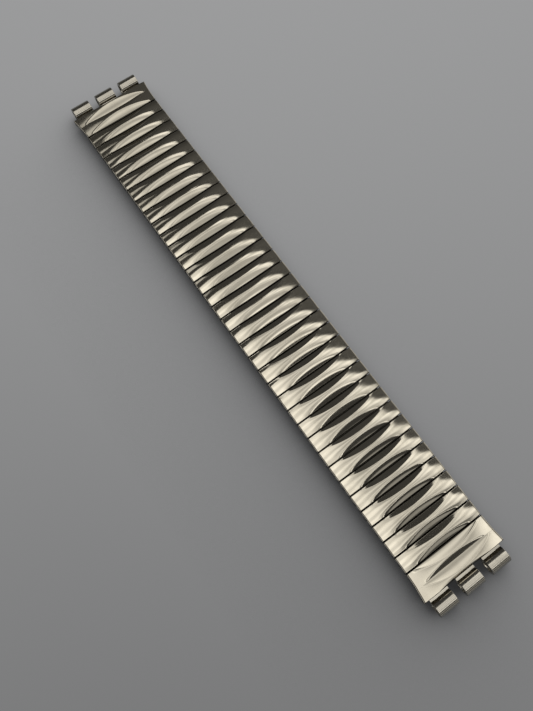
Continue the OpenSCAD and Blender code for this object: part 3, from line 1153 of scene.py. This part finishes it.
@dataclass(frozen=True)
class Room:
    """The room that the steel reflects, laid out by direction.

    A direction is given by its slopes across the vertical, u along the band and v across it. The room is
    dim but for a pale ceiling, a pale wall at either end and pale walls past both long sides.
    """

    horizon: float = 0.02
    gloom: float = 0.045
    glow: float = 0.6
    slant: float = 0.17
    slant_b: float = 0.2
    skew: float = 0.73
    ceiling_far: Ramp = Ramp(0.42, 0.46, 1.0, 0.0)
    ceiling_near: Ramp = Ramp(-0.2, -0.14, 0.0, 1.0)
    ceiling_a: Ramp = Ramp(-0.47, -0.41, 0.0, 1.0)
    ceiling_b: Ramp = Ramp(0.82, 0.9, 1.0, 0.0)
    rise_far: Ramp = Ramp(0.26, 0.4, 0.0, 0.42)
    rise_near: Ramp = Ramp(-0.05, 0.1, 0.42, 0.0)
    rise_b: Ramp = Ramp(0.6, 0.8, 0.0, 0.4)
    rise_a: Ramp = Ramp(-0.5, -0.3, 0.18, 0.0)
    beam_at: float = 0.52
    beam: Ramp = Ramp(0.03, 0.11, -0.3, 0.0)
    folds: tuple[float, float, float] = (21.0, 15.0, 0.19)
    wing_b: Ramp = Ramp(-0.76, -0.7, 1.0, 0.0)
    wing_a: Ramp = Ramp(-0.875, -0.84, 0.0, 1.0)
    wing_far: Ramp = Ramp(0.03, 0.1, 0.5, 0.0)
    wall_low: Ramp = Ramp(1.38, 1.6, 0.0, 0.26)
    wall_high: Ramp = Ramp(2.1, 2.4, 1.0, 0.0)
    foot: Ramp = Ramp(3.0, 4.5, 0.0, 0.1)
    foot_side: Ramp = Ramp(0.3, 0.5, 1.0, 0.0)
    haze: Ramp = Ramp(0.43, 0.55, 0.0, 0.04)
    haze_a: Ramp = Ramp(-1.5, -0.5, 0.0, 1.0)
    side: Ramp = Ramp(0.47, 0.62, 0.0, 1.0)
    side_low: Ramp = Ramp(0.2, 0.42, 0.3, 0.75)
    side_high: Ramp = Ramp(0.5, 0.72, 0.0, 0.5)
    skirting: Ramp = Ramp(0.02, 0.1, 0.2, 0.0)

    def level(self, graph: Graph, direction: Socket) -> Socket:
        """Adds the nodes that give the room's brightness.

        Args:
            graph: The world's graph.
            direction: The direction that a ray leaves in.

        Returns:
            The brightness in that direction.
        """
        x, y, z = graph.parts(direction)
        height = graph.math("MAXIMUM", z, self.horizon)
        u, v = graph.math("DIVIDE", x, height), graph.math("DIVIDE", y, height)
        aside = graph.math("ABSOLUTE", y)
        ceiling = self._ceiling(graph, u, v)
        wing = graph.product(
            graph.ramp(graph.skewed(u, v, self.skew), self.wing_b),
            graph.ramp(u, self.wing_a),
            graph.ramp(v, self.wing_far),
            graph.ramp(v, self.ceiling_near),
        )
        wall = graph.product(graph.ramp(u, self.wall_low), graph.ramp(u, self.wall_high))
        foot = graph.product(graph.ramp(u, self.foot), graph.ramp(aside, self.foot_side))
        haze = graph.product(graph.ramp(self._far(graph, u, v), self.haze), graph.ramp(u, self.haze_a))
        lit = graph.math("SUBTRACT", graph.ramp(z, self.side_low), graph.ramp(z, self.side_high))
        side = graph.product(graph.ramp(aside, self.side), lit)
        return graph.total(ceiling, wing, wall, foot, haze, side, graph.ramp(z, self.skirting), self.gloom)

    def _far(self, graph: Graph, u: Socket, v: Socket) -> Socket:
        """Distance past the slanted middle line, towards the far side."""
        slanted = graph.skewed(v, u, -self.slant)
        return graph.skewed(slanted, graph.math("MAXIMUM", u, 0.0), -self.slant_b)

    def _ceiling(self, graph: Graph, u: Socket, v: Socket) -> Socket:
        """Brightness of the ceiling: brighter at its rims, with one dark beam and soft folds."""
        far, left = self._far(graph, u, v), graph.skewed(u, v, self.skew)
        along, across, depth = self.folds
        wave = graph.skewed(graph.product(u, along), v, across)
        light = graph.total(
            graph.ramp(far, self.rise_far),
            graph.ramp(v, self.rise_near),
            graph.ramp(u, self.rise_b),
            graph.ramp(left, self.rise_a),
            graph.ramp(graph.math("ABSOLUTE", graph.math("SUBTRACT", u, self.beam_at)), self.beam),
            graph.product(graph.math("SINE", wave), depth),
            self.glow,
        )
        return graph.product(
            graph.ramp(far, self.ceiling_far),
            graph.ramp(v, self.ceiling_near),
            graph.ramp(left, self.ceiling_a),
            graph.ramp(u, self.ceiling_b),
            light,
        )


@dataclass
class Studio:
    """Floor, light and camera, set as in the photograph.

    The eye and the floor's clearance are in millimetres, and all else is in metres.
    """

    eye: Point = (29.7, -20.44, 100.89)
    right: Point = (0.58021, 0.81446, -0.00411)
    upward: Point = (-0.78593, 0.5612, 0.25955)
    forward: Point = (-0.2137, 0.14737, -0.96572)
    lens: float = 27.0
    sensor: float = 36.0
    clip: Spot = (0.002, 10.0)
    floor_grey: Colour = (0.15, 0.152, 0.155)
    floor_half: float = 1.6
    floor_clear: float = 0.02
    lamp_at: Point = (-0.14, 0.14, 0.2)
    lamp_aim: Point = (-0.04, 0.03, 0.0)
    lamp_size: Spot = (0.22, 0.16)
    lamp_watts: float = 0.6
    lamp_colour: Colour = (1.0, 0.985, 0.96)
    shadow_reach: float = 0.03
    shadow_samples: int = 16
    shadow: Ramp = Ramp(0.35, 1.0, 0.12, 1.0)
    room_colour: Colour = (1.0, 0.97, 0.9)
    even_colour: Colour = (0.97, 0.985, 1.0)
    even: float = 0.44
    backdrop_colour: Colour = (0.985, 0.99, 1.0)
    # Painted falloff of the backdrop: lighter towards the top of the picture and darker towards the bottom,
    # as a lamp would light a floor
    backdrop: Ramp = Ramp(-0.56, 0.56, 0.2, 0.335)

    def build(self) -> None:
        """Makes the floor, the lamp, the world and the camera."""
        self.build_floor()
        self.build_lamp()
        self.build_world()
        self.build_camera()

    def build_floor(self) -> None:
        """Lays a plain sheet under the band, which the curled band can be seen through."""
        mesh = bmesh.new()
        bmesh.ops.create_grid(mesh, x_segments=1, y_segments=1, size=self.floor_half)
        floor = put_mesh("floor", mesh)
        floor.location.z = -self.floor_clear * MM
        floor.data.materials.append(self._floor_material())

    def _floor_material(self) -> bpy.types.Material:
        """A grey sheet for the steel, and for the camera the backdrop with the band's shadow."""
        material = bpy.data.materials.new("grey_sheet")
        material.use_nodes = True
        graph = Graph(material.node_tree)
        sheet = graph.add("ShaderNodeBsdfDiffuse", {"Color": self.floor_grey})
        lampward = graph.vector(*Vector(self.lamp_at).normalized())
        inputs = {"Distance": self.shadow_reach, "Normal": lampward}
        open_sky = graph.add("ShaderNodeAmbientOcclusion", inputs, samples=self.shadow_samples)
        shade = graph.ramp(open_sky.outputs["AO"], self.shadow, smooth=False)
        veil = graph.add("ShaderNodeBsdfTransparent", {"Color": graph.vector(shade, shade, shade)})
        clear = graph.add("ShaderNodeBsdfTransparent")
        rays, face = graph.add("ShaderNodeLightPath"), graph.add("ShaderNodeNewGeometry")
        seen = graph.mixed(rays.outputs["Is Camera Ray"], sheet.outputs[0], veil.outputs[0])
        passed = graph.math("MAXIMUM", face.outputs["Backfacing"], rays.outputs["Is Shadow Ray"])
        graph.add("ShaderNodeOutputMaterial", {"Surface": graph.mixed(passed, seen, clear.outputs[0])})
        return material

    def build_lamp(self) -> None:
        """Hangs one wide soft lamp beyond the far end, on the +Y side."""
        lamp = bpy.data.lights.new("window", "AREA")
        lamp.shape = "RECTANGLE"
        lamp.size, lamp.size_y = self.lamp_size
        lamp.energy = self.lamp_watts
        lamp.color = self.lamp_colour
        holder = put("window", lamp)
        holder.location = self.lamp_at
        aim = Vector(self.lamp_aim) - Vector(self.lamp_at)
        holder.rotation_euler = aim.to_track_quat("-Z", "Y").to_euler()
        holder.visible_glossy = False

    def build_world(self) -> None:
        """Sets the backdrop, painted lighter towards the top of the picture and darker towards the bottom,
        the even light and the room that the steel reflects.
        """
        world = bpy.data.worlds.new("room")
        bpy.context.scene.world = world
        world.use_nodes = True
        graph = Graph(world.node_tree)
        direction = graph.add("ShaderNodeTexCoord").outputs["Generated"]
        upwards = graph.add("ShaderNodeVectorMath", {0: direction, 1: self.upward}, operation="DOT_PRODUCT")
        # The backdrop that the camera sees is painted brighter towards the camera's up direction
        level = graph.ramp(upwards.outputs["Value"], self.backdrop, smooth=False)
        shine = graph.background(self.room_colour, Room().level(graph, direction))
        even = graph.background(self.even_colour, self.even)
        shown = graph.background(self.backdrop_colour, level)
        rays = graph.add("ShaderNodeLightPath")
        lit = graph.mixed(rays.outputs["Is Glossy Ray"], even, shine)
        seen = graph.mixed(rays.outputs["Is Camera Ray"], lit, shown)
        graph.add("ShaderNodeOutputWorld", {"Surface": seen})

    def build_camera(self) -> None:
        """Sets the camera at the photograph's viewing angle."""
        data = bpy.data.cameras.new("camera")
        data.lens, data.sensor_width = self.lens, self.sensor
        data.clip_start, data.clip_end = self.clip
        camera = put("camera", data)
        axes = (Vector(self.right), Vector(self.upward), -Vector(self.forward))
        turn = Matrix(axes).transposed().to_4x4()
        camera.matrix_world = Matrix.Translation(Vector(self.eye) * MM) @ turn
        bpy.context.scene.camera = camera


def main() -> None:
    """Builds the dressed band."""
    logging.basicConfig(level=logging.INFO, format="%(name)s: %(message)s")
    for thing in list(bpy.data.objects):
        bpy.data.objects.remove(thing, do_unlink=True)
    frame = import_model()
    bpy.context.scene.view_settings.view_transform = "Standard"
    Studio().build()
    finishes = Finishes()
    finishes.build()
    band = Band(finishes)
    band.build_covers()
    band.build_ends()
    band.dress_cad(frame["nodes"])
    log.info("%d new pieces", len(band.made))


if __name__ == "__main__":
    main()
